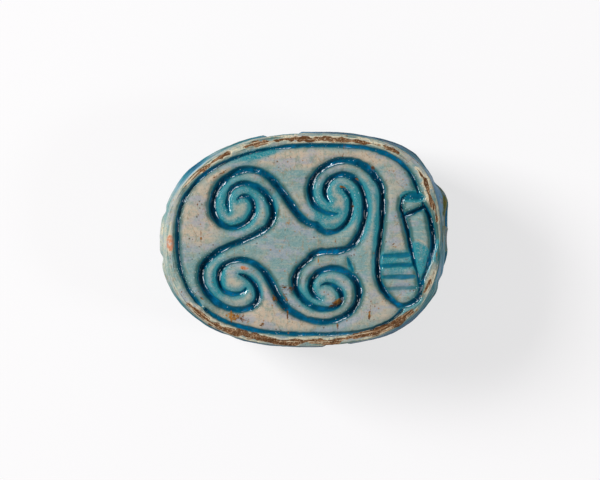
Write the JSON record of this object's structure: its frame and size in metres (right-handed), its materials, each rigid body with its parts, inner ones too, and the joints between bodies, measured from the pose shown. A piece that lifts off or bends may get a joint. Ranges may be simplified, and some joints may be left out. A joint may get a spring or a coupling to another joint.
{
  "type": "scarab amulet",
  "caption": "Glazed steatite scarab amulet lying on its back, its oval base engraved with linked scrolls and a rearing cobra inside a border line, pierced from head to tail.",
  "frame": {"origin": "middle of the footprint at the lowest point, which is the small flat worn on the beetle's back", "axes": "+X towards the beetle's head, +Y across it, +Z straight out of the engraved base, which faces up"},
  "size_m": [0.019, 0.0142, 0.0084],
  "materials": {
    "glaze": "glossy worn blue-green glaze on pale stone, dark blue where it pooled in the carving, brown where it is rubbed off the rim"
  },
  "bodies": {
    "root": {"scarab": "glaze"}
  },
  "joints": []
}
